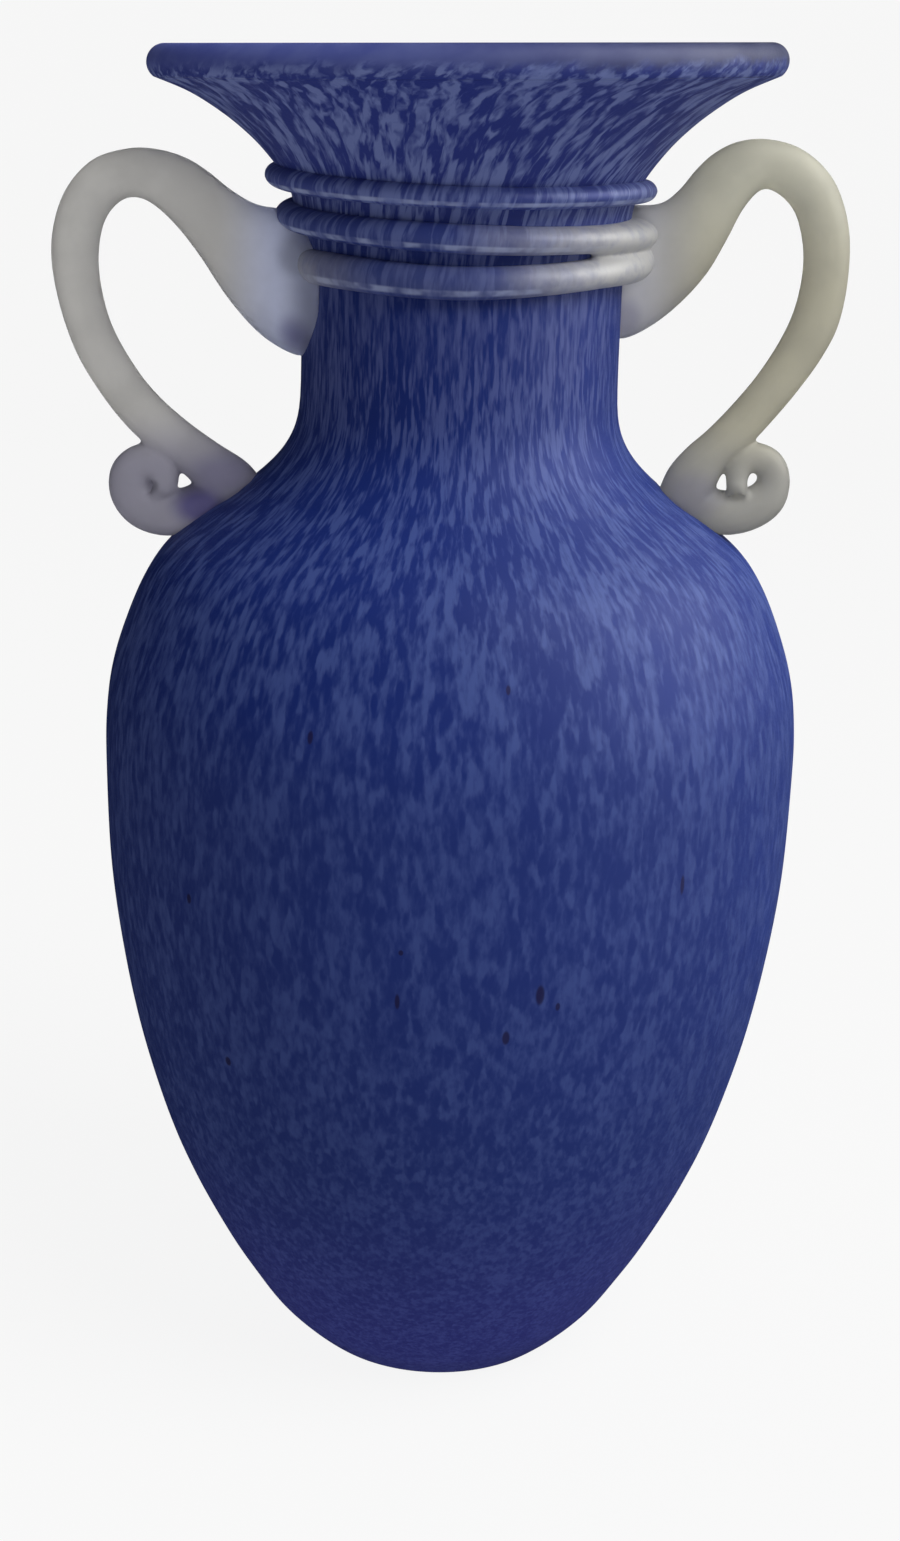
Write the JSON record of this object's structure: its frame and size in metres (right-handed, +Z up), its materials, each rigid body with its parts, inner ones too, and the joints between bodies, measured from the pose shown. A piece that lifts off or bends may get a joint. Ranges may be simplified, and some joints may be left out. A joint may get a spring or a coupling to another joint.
{
  "type": "amphora vase",
  "caption": "Hot-worked glass amphora: wide rolled lip, straight neck with a laid-on spiral thread, egg-shaped belly and a scrolled handle on each side.",
  "frame": {"origin": "middle of the foot's flat resting face, on the vessel's axis", "axes": "+Z up the vessel's axis; the handles stand out along +X and -X, the longer-reaching one on -X; front towards -Y"},
  "size_m": [0.1731, 0.156, 0.3],
  "materials": {
    "mottled_blue_glass": "acid-etched satin, near-opaque",
    "plain_blue_glass": "smooth satin, near-opaque",
    "trail_glass": "frosted clear",
    "handle_glass": "frosted clear, greyish"
  },
  "bodies": {
    "root": {"vessel": "mottled_blue_glass", "lip_wrap": "plain_blue_glass", "neck_trail": "trail_glass", "handle_left": "handle_glass", "handle_right": "handle_glass"}
  },
  "joints": []
}
